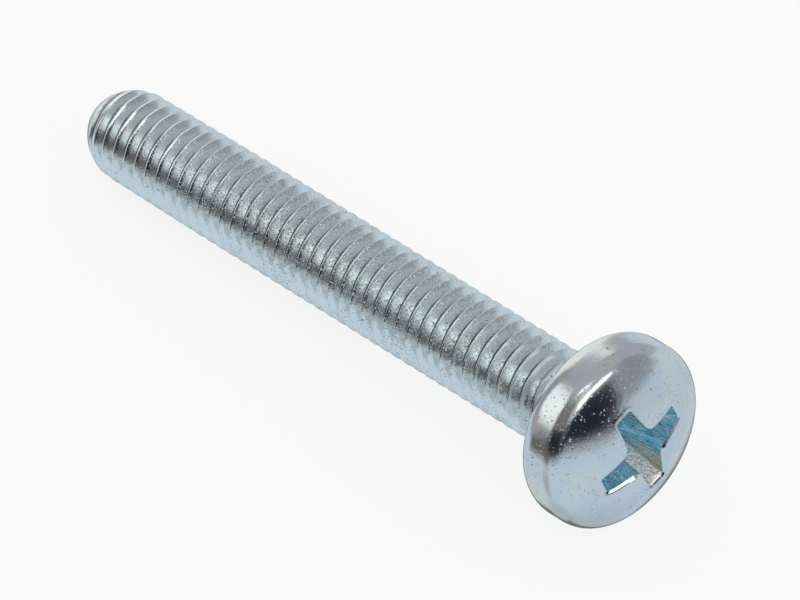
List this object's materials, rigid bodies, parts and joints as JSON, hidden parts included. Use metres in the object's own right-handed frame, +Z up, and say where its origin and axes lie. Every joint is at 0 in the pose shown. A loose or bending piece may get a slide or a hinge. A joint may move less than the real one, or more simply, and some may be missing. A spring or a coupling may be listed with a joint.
{
  "type": "machine screw",
  "caption": "Pan-head machine screw with a cross recess and a metric thread up to its domed head, steel with bright zinc plating.",
  "frame": {"origin": "middle of the bearing face under the head, on the axis of the screw", "axes": "+Z up; the screw lies at rest with its head at +X, its axis in the XZ plane and raised towards the head by 4.15 degrees"},
  "size_m": [0.039, 0.0098, 0.0098],
  "materials": {
    "zinc_plated_steel": "bright zinc plate with a blue passivation, thin and slightly speckled"
  },
  "bodies": {
    "root": {"machine_screw": "zinc_plated_steel"}
  },
  "joints": []
}
